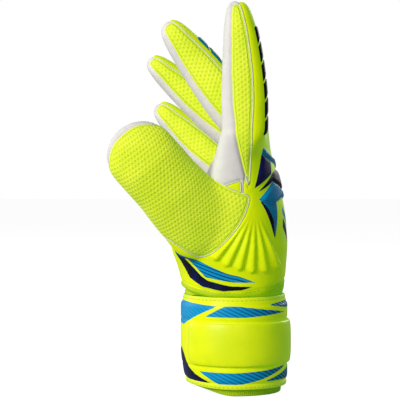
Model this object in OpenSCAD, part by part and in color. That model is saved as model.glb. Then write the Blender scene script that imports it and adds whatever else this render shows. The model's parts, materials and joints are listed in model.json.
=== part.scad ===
// Goalkeeper glove for the right hand, worn open: latex palm, printed backhand, mesh side gussets,
// folding fingers and thumb, and a wrist cuff that a wrap-round hook-and-loop strap closes.
// +Z runs up the hand, +X towards the back of the hand, -Y towards the thumb. Millimetres.

/* [Hand] */
// Width of the hand part across the knuckles
hand_w = 104; // [98:1:110]
// How far the little-finger side of the palm cups forward
cup = 18; // [10:1:22]
// Thickness of a sewn panel: outer skin, foam and textile
panel_t = 3; // [2:0.5:4]
// Thickness of the foam sheet behind the back of the hand
foam_t = 2; // [1:0.5:3]

/* [Fingers] */
// Length of the middle finger from its knuckle hinge to its tip
middle_len = 96; // [92:1:100]
// How far the three bent fingers fold at the knuckle from the rest pose
knuckle_fold = 35; // [20:1:40]
// How far the straight index finger folds at its knuckle
index_fold = 50; // [30:1:55]
// How far each finger folds at its middle joint
finger_fold = 60; // [30:5:70]

/* [Thumb] */
// Length of the thumb from its base hinge to its tip
thumb_len = 68; // [62:1:72]
// Half width of the thumb lobe
thumb_hw = 25; // [22:0.5:26]
// How far the thumb leans away from the palm
thumb_lean = 15; // [8:1:20]

/* [Wrist] */
// Height of the cuff from its lower rim to its top edge
cuff_h = 71; // [68:1:73]
// Outer half depth of the cuff, front to back
cuff_r = 34; // [32:0.5:35]
// Height of the wrist hinge above the rim
wrist_z = 93; // [90:1:94]
// How far the hand bends at the wrist, each way
wrist_fold = 12; // [6:1:15]

/* [Strap] */
// Lower edge of the strap
strap_z = 5; // [3:1:8]
// Height of the strap band
strap_h = 65; // [60:1:65]
// Height of the raised pad on the strap
pad_h = 32; // [26:1:36]

/* [Hidden] */

lime = [0.72, 0.9, 0.05];
mesh_yellow = [0.85, 0.95, 0.1];
latex_white = [0.9, 0.89, 0.87];
print_blue = [0.05, 0.55, 0.75];
dark = [0.08, 0.09, 0.14];

seam = 0.1;           // half of the open seam between two panels
glue = 0.06;          // glue line between two layers of the strap
hinge_gap = 0.6;      // free play on each side of a fold line
side_n = 2.4;         // roundness of the hand and finger sections; 2 is an ellipse

// Seams between the hand's panels, as angles from the back of the hand.
little_seam = 79.5;       // back panel to the little finger's side gusset
little_palm_seam = 112.5; // that gusset to the palm
thumb_palm_seam = 255.5;  // palm to the panels on the thumb side
index_seam = 282.5;       // those panels back to the back panel
seam_gap = 0.5;           // what each panel keeps clear of its seam, in degrees

// Heights of the panels' edges.
panels_low = 86;
panels_top = 203;
side_top = 174;           // the little finger's side gusset and the foam
index_gusset_top = 190;
index_gusset_low = 151;
thumb_panel_top = 150;
foam_low = 104;
foam_arc = [-62, 66];     // the foam's edges, as angles
wrist_panel_top = 106;
wrist_seams = [-138, 100, 221];

// Fingers: name, hinge [x, y, z], rest fold from upright, sideways splay, knuckle-to-middle length,
// total length, half width and half depth at the root.
FINGERS = [
    ["index", [7, -39, 186], 1, -3, 44, middle_len - 5, 12.5, 16],
    ["middle", [10.5, -12.2, 188], 39, -0.5, 46, middle_len, 13, 16],
    ["ring", [2, 14.6, 184], 50, 2.5, 42, middle_len - 12, 12.5, 15],
    ["little", [-9, 39.9, 162], 49, 6, 34, middle_len - 31, 11.5, 13.5]];
index_tip_rest = 3;   // the index tip's own fold at rest
stretch_back = [10, 33, 36, 34]; // how far each finger opens backwards at its knuckle

// Thumb base hinge, and the thumb's direction from upright towards the palm.
thumb_hinge = [-36.6, -46, 137.5];
thumb_tilt = 41;
thumb_hd = 14.5;      // half depth of the thumb
thumb_first = 34;     // base hinge to tip hinge
thumb_root_len = 42;  // how far the thumb runs down into the hand
thumb_in = 25;        // fold towards the palm
thumb_out = 15;       // swing away from it
thumb_bend = 40;      // fold of the tip
thumb_back_arc = [-79, 79];   // the thumb's mesh side, as angles of its section
thumb_palm_arc = [80, 280];   // and its latex side

// A finger's section: its back, gussets and palm side meet at these angles.
gusset_from = 60;
gusset_to = 120;
sector_gap = 1;       // what each of them keeps clear of the seam, in degrees
finger_room = 1.2;    // free room on each side of a finger in the hand

// Strap hinges and ends, as angles round the wrist from the back of the hand.
strap_start = 110;
unwrap_at = -50;
peel_at = -156;
strap_finish = -225;
strap_in = cuff_r + 1.6;
strap_out = strap_in + 3;
pad_out = strap_out + 1.2;
oval_extra = 2;       // the wrist is this much wider than deep, on each side
band_h = 5;           // sewn edge band of the strap
slit = 7;             // half angle of the cuff's slit, on the palm side
vent_arc = [162, 198];        // the knitted insert behind the slit
vent_t = 1.2;
loop_arc = [142, 171];        // the loop patch on the cuff
hook_arc = [-190, -217];      // the hook patch inside the strap's end
patch_inset = 10;     // the patches stop this far inside the strap's edges
patch_t = 0.6;
pad_start = 48;       // where the raised pad begins
binding_t = 0.8;      // thickness of the sewn edge bands and the pull tab
anchor_arc = 8;       // the strap is sewn to the cuff over this angle
tab_arc = 6;          // and ends in a pull tab this long
fold_gap = 0.5;       // room at each of the strap's fold lines, in degrees

// The palm cups forward from this height on, over this rise, about this y and half width.
cup_from = 84;
cup_rise = 95;
cup_mid = -12;
cup_half = 54;

// Outline of the hand seen from the thumb side, as [z, x], and its half width as [z, y].
BACK_X = [[70, 34], [80, 36.5], [105, 37.5], [127, 36], [150, 32.5], [172, 26], [204, 23]];
PALM_X = [[70, -36], [80, -38], [94, -40], [110, -36], [130, -27], [154, -20], [179, -11], [204, -6]];
HALF_W = [[70, 38], [84, 40], [104, 45], [129, 50], [154, hand_w / 2], [204, hand_w / 2]];

function clamp(t) = min(1, max(0, t));
function ease(t) = clamp(t) * clamp(t) * (3 - 2 * clamp(t));
function round_pow(c) = sign(c) * pow(abs(c), 2 / side_n);

// A point of the hand's outer surface, or inset below it; a is the angle from the back of the hand.
function hand_point(a, z, inset) =
    let (xb = lookup(z, BACK_X) - inset, xp = lookup(z, PALM_X) + inset,
         y = (lookup(z, HALF_W) - inset) * round_pow(sin(a)),
         x = (xb + xp) / 2 + (xb - xp) / 2 * round_pow(cos(a)))
    [x - cup * ease((z - cup_from) / cup_rise) * pow((y - cup_mid) / cup_half, 2), y, z];

// Half depth and half width of a finger at a distance from its tip.
function finger_depth(f, t) = f[7] * pow(min(1, t / (0.72 * f[5])), 0.28);
function finger_width(f, t) =
    let (r = 1.15 * f[6], u = min(1, t / r))
    f[6] * (0.86 + 0.14 * clamp(t / f[5])) * sqrt(1 - (1 - u) * (1 - u));
function section_point(a, hd, hw, inset) =
    [max(hd - inset, 0.4) * round_pow(cos(a)), max(hw - inset, 0.4) * round_pow(sin(a))];

// Distance from a fold line of a point at depth d: fold on the palm side, back on the other.
function edge(d, fold, back) = hinge_gap + (d < 0 ? -d * tan(fold) : d * tan(back));

// A thick curved panel between two grids of points, each [row][column].
module panel(outer, inner) {
    rows = len(outer);
    cols = len(outer[0]);
    n = rows * cols;
    function at(i, j) = i * cols + j;
    points = concat([for (row = outer, p = row) p], [for (row = inner, p = row) p]);
    skin = [for (i = [0 : rows - 2], j = [0 : cols - 2], k = [0, 1])
        let (a = at(i, j), b = at(i, j + 1), c = at(i + 1, j + 1), d = at(i + 1, j))
        k == 0 ? [a, c, b] : [a, d, c]];
    back = [for (f = skin) [f[0] + n, f[2] + n, f[1] + n]];
    rim = concat([for (j = [0 : cols - 1]) at(0, j)],
                 [for (i = [1 : rows - 1]) at(i, cols - 1)],
                 [for (j = [cols - 2 : -1 : 0]) at(rows - 1, j)],
                 [for (i = [rows - 2 : -1 : 1]) at(i, 0)]);
    m = len(rim);
    wall = [for (k = [0 : m - 1], h = [0, 1])
        let (a = rim[k], b = rim[(k + 1) % m]) h == 0 ? [a, b, b + n] : [a, b + n, a + n]];
    polyhedron(points = points, faces = concat(skin, back, wall), convexity = 6);
}

// A panel of the hand between two angles and two heights.
module hand_skin(a0, a1, z0, z1, outset = 0, t = panel_t, rows = 12, cols = 6) {
    function grid(inset) = [for (i = [0 : rows]) [for (j = [0 : cols])
        hand_point(a0 + (a1 - a0) * j / cols, z0 + (z1 - z0) * i / rows, inset)]];
    panel(grid(outset), grid(outset + t));
}

// The whole hand as one closed body, inset from the outer surface.
module hand_body(inset, z0, z1, rows = 10, cols = 24) {
    rings = [for (i = [0 : rows], j = [0 : cols - 1])
        hand_point(360 * j / cols, z0 + (z1 - z0) * i / rows, inset)];
    sides = [for (i = [0 : rows - 1], j = [0 : cols - 1], k = [0, 1])
        let (a = i * cols + j, b = i * cols + (j + 1) % cols) k == 0
        ? [a, b + cols, b] : [a, a + cols, b + cols]];
    bottom = [for (j = [0 : cols - 1]) j];
    top = [for (j = [cols - 1 : -1 : 0]) rows * cols + j];
    polyhedron(points = rings, faces = concat(sides, [bottom, top]), convexity = 4);
}

// The room that a finger needs above its knuckle fold, to be cut out of the hand.
module knuckle_room(f, back) {
    reach = 70;
    hinge = f[1];
    room = f[6] + finger_room;
    translate([hinge[0], hinge[1] - room, hinge[2]]) rotate([90, -f[2], 0]) mirror([0, 0, 1])
        linear_extrude(2 * room)
            polygon([[-reach, -hinge_gap], [0, -hinge_gap], [reach, -hinge_gap - reach * tan(back)],
                     [reach, reach], [-reach, reach]]);
}

// Everything above or below the wrist fold.
module wrist_room(up) {
    reach = 80;
    rise = reach * tan(wrist_fold / 2);
    s = up ? 1 : -1;
    translate([0, 0, wrist_z]) rotate([90, 0, 0]) linear_extrude(200, center = true)
        polygon([[-reach, s * (rise + hinge_gap)], [0, s * hinge_gap], [reach, s * (rise + hinge_gap)],
                 [reach, -s * reach], [-reach, -s * reach]]);
}

// Puts its children in the thumb's own frame: z along the thumb, x to its back.
module on_thumb(along = 0) {
    translate(thumb_hinge) rotate([thumb_lean, -thumb_tilt, 0]) rotate([0, 0, -90])
        translate([0, 0, along]) children();
}
function thumb_depth(t) = thumb_hd * pow(min(1, t / 30), 0.4);
function thumb_width(t) =
    let (u = min(1, t / thumb_hw)) (thumb_hw + 5 * clamp((t - 50) / 45)) * sqrt(1 - (1 - u) * (1 - u));

// A thumb panel between two angles; low and high give its ends along the thumb at a depth.
module thumb_skin(a0, a1, low, high, closed_tip, rows = 6, cols = 6) {
    function row(i, j, inset) =
        let (a = a0 + (a1 - a0) * j / cols, tip = thumb_len - inset, x = thumb_hd * round_pow(cos(a)),
             lo = low(x), hi = closed_tip ? tip - 0.1 : high(x), s = lo + (hi - lo) * sin(90 * i / rows),
             t = thumb_len - s, p = section_point(a, thumb_depth(t), thumb_width(t), inset))
        [p[0], p[1], s];
    function grid(inset) = [for (i = [0 : rows]) [for (j = [0 : cols]) row(i, j, inset)]];
    panel(grid(0), grid(panel_t));
}

// The thumb's own folds: half of each one's travel lies on either side of its line.
function thumb_fold_edge(x) = edge(x, thumb_in / 2, thumb_out / 2);
function thumb_tip_edge(x) = edge(x, thumb_bend / 2, 3);
module thumb_color(arc) { color(arc[0] < 0 ? mesh_yellow : latex_white) children(); }
module thumb_root(arc) {
    thumb_color(arc) difference() {
        on_thumb() thumb_skin(arc[0], arc[1], function(x) -thumb_root_len,
                              function(x) -thumb_fold_edge(x), false);
        hand_body(-0.2, 70, 180);
        wrist_room(true);
    }
}
module thumb_base(arc) {
    thumb_color(arc) on_thumb() thumb_skin(arc[0], arc[1], function(x) thumb_fold_edge(x),
                                           function(x) thumb_first - thumb_tip_edge(x), false);
}
module thumb_tip(arc) {
    thumb_color(arc) on_thumb() thumb_skin(arc[0], arc[1], function(x) thumb_first + thumb_tip_edge(x),
                                           function(x) 0, true);
}
// The space that the thumb takes out of the hand's panels: its root, and its swing towards the palm.
module thumb_bar(length) {
    linear_extrude(length) polygon([for (a = [0 : 15 : 345])
        section_point(a, thumb_hd, thumb_hw + 4, -3 * seam)]);
}
module thumb_hole() {
    on_thumb() translate([0, 0, 2 - thumb_root_len]) thumb_bar(thumb_root_len);
    hull() for (t = [-thumb_in, 0]) on_thumb() rotate([0, t, 0]) thumb_bar(thumb_len);
}

// Puts its children in a finger's own frame: z along the finger, x to its back.
module on_finger(f) {
    translate(f[1]) rotate([-f[3], -f[2], 0]) children();
}
// A panel of the finger's first or last length, between two angles of its section.
module finger_skin(f, is_tip, a0, a1, rows = 5, cols = 4) {
    function row(i, j, inset) =
        let (a = a0 + (a1 - a0) * j / cols, x = f[7] * round_pow(cos(a)),
             fold = f[0] == "index" ? index_fold : knuckle_fold,
             lo = is_tip ? f[4] + edge(x, finger_fold / 2, 6) : edge(x, fold, 0),
             hi = is_tip ? f[5] - inset : f[4] - edge(x, finger_fold / 2, 1),
             s = lo + (hi - lo) * sin(90 * i / rows), t = f[5] - s,
             p = section_point(a, finger_depth(f, t), finger_width(f, t), inset))
        [p[0], p[1], s];
    function grid(inset) = [for (i = [0 : rows]) [for (j = [0 : cols]) row(i, j, inset)]];
    panel(grid(0), grid(panel_t));
}
module finger_part(f, is_tip, part) {
    bent = is_tip && f[0] == "index" ? index_tip_rest : 0;
    on_finger(f) translate([0, 0, f[4]]) rotate([0, -bent, 0]) translate([0, 0, -f[4]]) {
        if (part == "palm") color(latex_white)
            finger_skin(f, is_tip, gusset_to + sector_gap, 360 - gusset_to - sector_gap);
        if (part == "back") color(lime)
            finger_skin(f, is_tip, sector_gap - gusset_from, gusset_from - sector_gap);
        if (part == "gussets") color(mesh_yellow) for (a = [gusset_from, 360 - gusset_to])
            finger_skin(f, is_tip, a + sector_gap, a + gusset_to - gusset_from - sector_gap);
    }
}

// Hand panels, open where the fingers, the thumb and the wrist fold.
module hand_panel(a0, a1, z0, z1, outset = 0, t = panel_t, cols = 6, thumb = false) {
    difference() {
        hand_skin(a0, a1, z0, z1, outset, t, 12, cols);
        for (i = [0 : 3]) knuckle_room(FINGERS[i], stretch_back[i]);
        if (z0 < wrist_z) wrist_room(true);
        if (thumb) thumb_hole();
    }
}
module between_seams(a0, a1, z0, z1, cols, thumb = false) {
    hand_panel(a0 + seam_gap, a1 - seam_gap, z0, z1, cols = cols, thumb = thumb);
}
module palm_latex() {
    color(latex_white) between_seams(little_palm_seam, thumb_palm_seam, panels_low, panels_top, 10, true);
}
module backhand_panel() {
    color(lime) between_seams(index_seam - 360, little_seam, panels_low, panels_top, 10);
}
module backhand_foam() {
    color("white") hand_panel(foam_arc[0], foam_arc[1], foam_low, side_top, panel_t + 0.5, foam_t, 8);
}
module little_side_gusset() {
    color(mesh_yellow) between_seams(little_seam, little_palm_seam, panels_low, side_top, 4);
}
module index_side_gusset() {
    color(mesh_yellow)
        between_seams(thumb_palm_seam, index_seam, index_gusset_low, index_gusset_top, 3, true);
}
module thumb_side_panel() {
    color(mesh_yellow) between_seams(thumb_palm_seam, index_seam, panels_low, thumb_panel_top, 3, true);
}
module wrist_panel(a0, a1) {
    color(lime) difference() {
        hand_skin(a0, a1, cuff_h + 0.3, wrist_panel_top, 0, panel_t, 6, 12);
        wrist_room(false);
    }
}

// Wrist: rings about the wrist's oval. A point on the oval of half depth r.
function oval(r, a) = [r * cos(a), (r + oval_extra) * sin(a)];
module arc_band(r0, r1, a0, a1, z, h) {
    step = 5;
    lo = min(a0, a1);
    hi = max(a0, a1);
    angles = concat(lo, [for (a = [step * floor(lo / step + 1) : step : hi - 0.1]) a], hi);
    translate([0, 0, z]) linear_extrude(h) polygon(concat(
        [for (a = angles) oval(r1, a)],
        [for (i = [len(angles) - 1 : -1 : 0]) oval(r0, angles[i])]));
}
module wrist_cuff() { color(lime) arc_band(cuff_r - panel_t, cuff_r, slit - 180, 180 - slit, 0, cuff_h); }
module vent_insert() {
    inside = cuff_r - panel_t;
    color(mesh_yellow) arc_band(inside - vent_t, inside - glue, vent_arc[0], vent_arc[1], 2, cuff_h - 4);
}
module patch(r0, r1, arc) {
    color(dark) arc_band(r0, r1, arc[0], arc[1], strap_z + patch_inset, strap_h - 2 * patch_inset);
}
module loop_patch() { patch(cuff_r + glue, cuff_r + patch_t, loop_arc); }
module hook_patch() { patch(strap_in - patch_t, strap_in - glue, hook_arc); }
// One stretch of the strap, its two sewn edge bands, and its raised pad.
module strap_band(a0, a1) { color(print_blue) arc_band(strap_in, strap_out, a0, a1, strap_z, strap_h); }
module strap_edges(a0, a1) {
    color(lime) for (z = [strap_z, strap_z + strap_h - band_h])
        arc_band(strap_out + glue, strap_out + binding_t, a0, a1, z, band_h);
}
module strap_pad(a0, a1) {
    color(lime) arc_band(strap_out + glue, pad_out, a0, a1, strap_z + (strap_h - pad_h) / 2, pad_h);
}
module strap_anchor() {
    color(print_blue)
        arc_band(cuff_r + glue, strap_in, strap_start, strap_start - anchor_arc, strap_z, strap_h);
}
module strap_back() {
    strap_band(strap_start, unwrap_at + fold_gap);
    strap_anchor();
}
module strap_side() { strap_band(unwrap_at - fold_gap, peel_at + fold_gap); }
module strap_end() { strap_band(peel_at - fold_gap, strap_finish + tab_arc); }
module strap_tab() {
    color(dark) arc_band(strap_in, strap_out + binding_t, strap_finish + tab_arc - seam, strap_finish,
                         strap_z + patch_inset - 1, strap_h - 2 * patch_inset + 2);
}

wrist_cuff();
vent_insert();
loop_patch();
strap_back();
strap_pad(pad_start, unwrap_at + 2 * fold_gap);  // strap_back_pad
strap_edges(strap_start, unwrap_at + 2 * fold_gap);  // strap_back_binding
strap_side();
strap_pad(unwrap_at - 2 * fold_gap, peel_at + 2 * fold_gap);  // strap_side_pad
strap_edges(unwrap_at - 2 * fold_gap, peel_at + 2 * fold_gap);  // strap_side_binding
strap_end();
strap_edges(peel_at - 2 * fold_gap, strap_finish + tab_arc);  // strap_end_binding
strap_tab();
hook_patch();
wrist_panel(wrist_seams[0], wrist_seams[1] - seam_gap);  // wrist_back_panel
wrist_panel(wrist_seams[1] + seam_gap, wrist_seams[2]);  // wrist_palm_panel
palm_latex();
backhand_panel();
backhand_foam();
little_side_gusset();
index_side_gusset();
thumb_side_panel();
thumb_root(thumb_back_arc);  // thumb_root_back
thumb_root(thumb_palm_arc);  // thumb_root_palm
thumb_base(thumb_back_arc);  // thumb_base_back
thumb_base(thumb_palm_arc);  // thumb_base_palm
thumb_tip(thumb_back_arc);  // thumb_tip_back
thumb_tip(thumb_palm_arc);  // thumb_tip_palm
for (f = FINGERS, s = ["base", "tip"], p = ["palm", "back", "gussets"])
    finger_part(f, s == "tip", p);
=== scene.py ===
"""The looks of a right-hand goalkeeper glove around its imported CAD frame. Metres, +Z up the fingers,
+X towards the back of the hand, -Y towards the thumb."""
import json
import math
from functools import reduce

import bpy
import numpy as np
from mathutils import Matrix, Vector
from mathutils.kdtree import KDTree


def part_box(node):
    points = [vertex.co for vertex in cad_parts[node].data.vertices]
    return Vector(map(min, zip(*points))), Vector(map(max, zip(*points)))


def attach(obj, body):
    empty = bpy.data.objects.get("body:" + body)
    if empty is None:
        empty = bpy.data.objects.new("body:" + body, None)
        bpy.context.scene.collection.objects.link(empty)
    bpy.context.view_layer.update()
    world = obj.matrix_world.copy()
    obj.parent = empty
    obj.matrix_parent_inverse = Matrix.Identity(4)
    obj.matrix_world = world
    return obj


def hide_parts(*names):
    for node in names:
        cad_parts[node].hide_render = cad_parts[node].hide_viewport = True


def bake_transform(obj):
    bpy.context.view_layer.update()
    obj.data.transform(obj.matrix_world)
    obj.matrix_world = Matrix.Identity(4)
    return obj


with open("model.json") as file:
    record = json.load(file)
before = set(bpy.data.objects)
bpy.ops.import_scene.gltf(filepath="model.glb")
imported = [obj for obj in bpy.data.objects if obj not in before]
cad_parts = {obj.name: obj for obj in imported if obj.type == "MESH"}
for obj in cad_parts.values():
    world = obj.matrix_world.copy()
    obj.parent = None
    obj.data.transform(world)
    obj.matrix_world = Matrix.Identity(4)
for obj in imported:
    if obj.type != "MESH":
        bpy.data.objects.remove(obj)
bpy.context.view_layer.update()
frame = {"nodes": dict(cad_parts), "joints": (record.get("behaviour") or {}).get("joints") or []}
MM = 0.001
JOINTS = {j["name"]: j for j in frame["joints"]}


# ---------------- small helpers
def unit(v):
    return v / np.linalg.norm(v, axis=-1, keepdims=True)


def clamp01(t):
    return np.clip(t, 0.0, 1.0)


def ease(t):
    t = clamp01(t)
    return t * t * (3 - 2 * t)


def bell(x, width):
    """1 where x is 0, and next to nothing two widths away."""
    return np.exp(-(x / width) ** 2)


def least(*values):
    return reduce(np.minimum, values)


def full_turn(count):
    return np.linspace(0, 2 * math.pi, count, endpoint=False)


def round_pow(c, n):
    """A cosine or sine for a rounded square section; n is how square it is, and 2 makes an ellipse."""
    return np.sign(c) * np.abs(c) ** (2 / n)


def smooth_table(points, reach=9):
    """A smooth curve through a short table of (position, value) in millimetres, as a function in metres."""
    at, value = np.array(points, float).T
    grid = np.arange(at[0] - 20, at[-1] + 21)
    kernel = np.hanning(2 * reach + 1)
    kernel /= kernel.sum()
    padded = np.pad(np.interp(grid, at, value), reach, mode="edge")
    curve = np.convolve(padded, kernel, mode="valid")
    return lambda z: np.interp(np.asarray(z) / MM, grid, curve) * MM


def node_points(*names):
    return np.array([v.co for n in names for v in frame["nodes"][n].data.vertices])


# ---------------- the shape of the hand
SIDE_N = 2.4  # how square the sections of the hand and the fingers are
# the hand's section at a height: its back's and its palm's X, and half its width across Y
back_x = smooth_table([(66, 33), (72, 35), (80, 36.5), (105, 38.4), (127, 36.8), (150, 32.5), (172, 26),
                       (204, 23)])
palm_x = smooth_table([(66, -35), (72, -36), (80, -38), (92, -41), (102, -45.5), (112, -45.5), (130, -30),
                       (154, -20), (179, -11), (204, -6)])
half_w = smooth_table([(66, 37), (72, 38), (84, 40), (104, 45), (129, 50), (154, 52), (204, 52)])
HEM_Z, HAND_TOP = 72 * MM, 207 * MM
CUP = 18 * MM  # how far the hand's sides curl towards the palm at the knuckles
CUP_START, CUP_GROWTH = 84 * MM, 95 * MM  # the height where that starts, and the height over which it grows
CUP_MIDDLE, CUP_REACH = -12 * MM, 54 * MM  # the Y that doesn't move, and how far from it the curl is CUP
TIP_GAP = 0.1 * MM  # the last ring of a finger stops this short of its tip


def cup_shift(y, z):
    return -CUP * ease((z - CUP_START) / CUP_GROWTH) * ((y - CUP_MIDDLE) / CUP_REACH) ** 2


def hand_point(a, z, outset=0.0):
    """The hand's outer surface at an angle from the back of the hand (radians) and a height."""
    xb, xp = back_x(z) + outset, palm_x(z) - outset
    y = (half_w(z) + outset) * round_pow(np.sin(a), SIDE_N)
    x = (xb + xp) / 2 + (xb - xp) / 2 * round_pow(np.cos(a), SIDE_N)
    return np.stack([x + cup_shift(y, z), y, z + 0 * x], -1)


class Limb:
    """A finger or the thumb. Its own axes are x to its back, y across it and s along it from its root."""

    def __init__(self, name, root, tip_joint, side):
        self.name = name
        self.hinge = np.array(JOINTS[root]["pos_m"])
        bend = np.array(JOINTS[tip_joint]["pos_m"])
        self.first = float(np.linalg.norm(bend - self.hinge))
        self.u = unit(bend - self.hinge)
        self.v = side * np.array(JOINTS[root]["axis"])
        self.x = np.cross(self.v, self.u)

    def local(self, p):
        rel = p - self.hinge
        return rel @ self.x, rel @ self.v, rel @ self.u

    def world(self, x, y, s):
        x, y, s = np.broadcast_arrays(x, y, s)
        return self.hinge + x[..., None] * self.x + y[..., None] * self.v + s[..., None] * self.u


class Finger(Limb):
    sunk = 14 * MM  # how far inside the hand the finger starts
    run_out = 38 * MM  # how far down the hand its outer side panel runs out
    taper, bluntness = 0.72, 0.28  # the share of its length over which it thins to the tip, and how late
    tip_width, tip_round = 0.86, 1.15  # its width at the tip to the root's, and how long the tip's round is

    def __init__(self, name, curl, late, slim=0.0):
        super().__init__(name, name + "_knuckle", name + "_bend", -1)
        self.curl = curl  # how far the tip curves towards the palm
        self.late = late  # how near to the tip it does so
        base = node_points(name + "_base_back", name + "_base_palm", name + "_base_gussets")
        x, y, _ = self.local(base)
        self.depth = np.abs(x).max() - 0.2 * MM - slim
        self.width = np.abs(y).max() - 0.5 * MM
        self.length = self.local(node_points(name + "_tip_back"))[2].max()

    def axis_x(self, s):
        return -self.curl * clamp01(s / self.length) ** self.late

    def half_depth(self, s):
        t = np.maximum(self.length - s, 0)
        return self.depth * np.minimum(1, t / (self.taper * self.length)) ** self.bluntness

    def half_width(self, s):
        t = np.maximum(self.length - s, 0)
        u = clamp01(t / (self.tip_round * self.width))
        share = self.tip_width + (1 - self.tip_width) * clamp01(t / self.length)
        return self.width * share * np.sqrt(1 - (1 - u) ** 2)

    def gusset_edges(self, s):
        """Where the side panel's edges lie along x at s, on the palm side and on the back."""
        t = np.maximum(self.length - s, 0)
        share = 1 - clamp01(-s / self.run_out) ** 1.2
        middle = self.axis_x(s)
        if self.name == "index":
            widest = 5.6 * MM + 1.6 * MM * ease(s / (25 * MM))
            half = widest * np.minimum(1, t / (50 * MM)) ** 0.36 * share
            middle = middle - 1.3 * MM + 2.8 * MM * clamp01(-s / (36 * MM))
            return middle - half, middle + half
        border = 2.2 * MM + 2 * MM * clamp01(t / (15 * MM))
        root = 3 * MM * clamp01(1 - 2 * s / self.length)
        deep = self.half_depth(s) * share
        return middle - np.maximum(deep - border - root, 0), middle + np.maximum(deep - border, 0)

    def latex_edge(self, s):
        """Where the latex of the palm side ends along x; at the tip it is drawn up over the finger's end."""
        low, high = self.gusset_edges(s)
        over_tip = 0.6 * self.half_depth(s) * ease(1 - (self.length - s) / (6 * MM))
        return (low + high) / 2 + over_tip

    def rings(self):
        k = np.linspace(0, 1, 44)
        s = -self.sunk + (self.length + self.sunk - TIP_GAP) * np.sin(k * math.pi / 2) ** 1.15
        s2, a2 = np.meshgrid(s, full_turn(48), indexing="ij")
        thin = 1 - 0.55 * ease(-s2 / self.sunk) * (np.cos(a2) > 0)
        x = self.axis_x(s2) + self.half_depth(s2) * thin * round_pow(np.cos(a2), SIDE_N)
        y = self.half_width(s2) * round_pow(np.sin(a2), SIDE_N)
        return self.world(x, y, s2)


class Thumb(Limb):
    root = 44 * MM  # how far the lobe runs down over the hand
    tip_round = 24.4 * MM  # the radius of its tip, seen square on
    depth = 14.5 * MM
    foot_start, foot_length = 26 * MM, 18.5 * MM  # where its lower end starts to close, and over what length

    def __init__(self):
        super().__init__("thumb", "thumb_swing", "thumb_bend", 1)
        self.length = self.local(node_points("thumb_tip_back"))[2].max()

    def lobe_width(self, s):
        """Half the lobe's width, which grows a little from the tip to the root."""
        t = self.length - s
        return self.tip_round + 5 * MM * clamp01((t - 50 * MM) / (45 * MM))

    def axis_y(self, s):
        return 2 * MM * clamp01(-s / (40 * MM))

    def rings(self):
        k = np.linspace(0, 1, 70)
        s = -self.root + (self.length + self.root - TIP_GAP) * (1 - np.cos(k * math.pi)) / 2
        s2, a2 = np.meshgrid(s, full_turn(64), indexing="ij")
        t = self.length - s2
        u = clamp01(t / self.tip_round)
        below = (-s2 - self.foot_start) / self.foot_length
        foot = np.sqrt(clamp01(1 - below ** 2 * (below > 0)))
        width = self.lobe_width(s2) * np.sqrt(1 - (1 - u) ** 2) * foot
        flatter = 1 - 0.4 * clamp01((8 * MM - s2) / (50 * MM))
        depth = self.depth * np.minimum(1, t / (30 * MM)) ** 0.42 * flatter * np.maximum(foot, 0.02)
        x = depth * round_pow(np.cos(a2), 2.3)
        y = self.axis_y(s2) + width * round_pow(np.sin(a2), 2.1)
        return self.world(x, y, s2)


FINGERS = [Finger("index", 4 * MM, 2.6),
           Finger("middle", -1.8 * MM, 1, -0.4 * MM),
           Finger("ring", -2 * MM, 1, 1.2 * MM),
           Finger("little", -2.2 * MM, 1, -0.4 * MM)]
THUMB = Thumb()


# ---------------- the skin as one smooth surface
VOXEL = 1 * MM
BANK = 2.0  # how steeply the shell rises from a finger's root towards its neighbour's
ROOT_BEVEL = 5 * MM  # how much of its corner is taken off behind a finger that leans towards the palm


def closed_loft(rings):
    """Vertices and faces of a closed tube through rings of points."""
    rows, cols = rings.shape[:2]
    verts = np.concatenate([rings.reshape(-1, 3), rings[:1].mean(1), rings[-1:].mean(1)])
    i, j = np.meshgrid(np.arange(rows - 1), np.arange(cols), indexing="ij")
    a, b = i * cols + j, i * cols + (j + 1) % cols
    faces = np.stack([a, b, b + cols, a + cols], -1).reshape(-1, 4).tolist()
    last, n = (rows - 1) * cols, rows * cols
    faces += [[(j + 1) % cols, j, n] for j in range(cols)]
    faces += [[last + j, last + (j + 1) % cols, n + 1] for j in range(cols)]
    return verts, faces


def joined(parts):
    """Several meshes, each of points and faces, as one."""
    verts, faces, n = [], [], 0
    for v, f in parts:
        verts.append(v)
        faces += [[k + n for k in face] for face in f]
        n += len(v)
    return np.concatenate(verts), faces


def new_object(name, verts, faces):
    mesh = bpy.data.meshes.new(name)
    mesh.from_pydata([tuple(v) for v in verts], [], faces)
    mesh.update()
    obj = bpy.data.objects.new(name, mesh)
    bpy.context.scene.collection.objects.link(obj)
    return obj


def finger_span(i, p):
    """The lowest and highest y at a point that belong to a finger: half way to its neighbours' axes."""
    axes = [f.hinge[1] + f.u[1] * np.clip(f.local(p)[2], 0, f.length) for f in FINGERS]
    low = (axes[i - 1] + axes[i]) / 2 if i > 0 else -1.0
    high = (axes[i] + axes[i + 1]) / 2 if i < len(FINGERS) - 1 else 1.0
    return low, high


def in_span(i, p):
    low, high = finger_span(i, p)
    return (p[:, 1] > low) & (p[:, 1] <= high)


def span_depth(i, p):
    """How far inside a finger's span a point lies; negative outside."""
    low, high = finger_span(i, p)
    return np.minimum(p[:, 1] - low, high - p[:, 1])


def below_fingers(p, gap):
    """Lowers the points above a finger's root to a plane a gap short of its hinge, with a bank beside it."""
    for i, f in enumerate(FINGERS):
        low, high = finger_span(i, p)
        beside = np.maximum(np.maximum(low - p[..., 1], p[..., 1] - high), 0)
        behind = clamp01((f.local(p)[0] - 0.5 * f.depth) / (0.5 * f.depth)) * clamp01(-4 * f.u[0])
        behind *= clamp01((p[..., 0] - f.hinge[0]) / (5 * MM))
        over = (p - f.hinge) @ f.u + gap - BANK * beside + ROOT_BEVEL * behind
        p[..., 2] = np.where(over > 0, p[..., 2] - over / f.u[2], p[..., 2])
    return p


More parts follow.
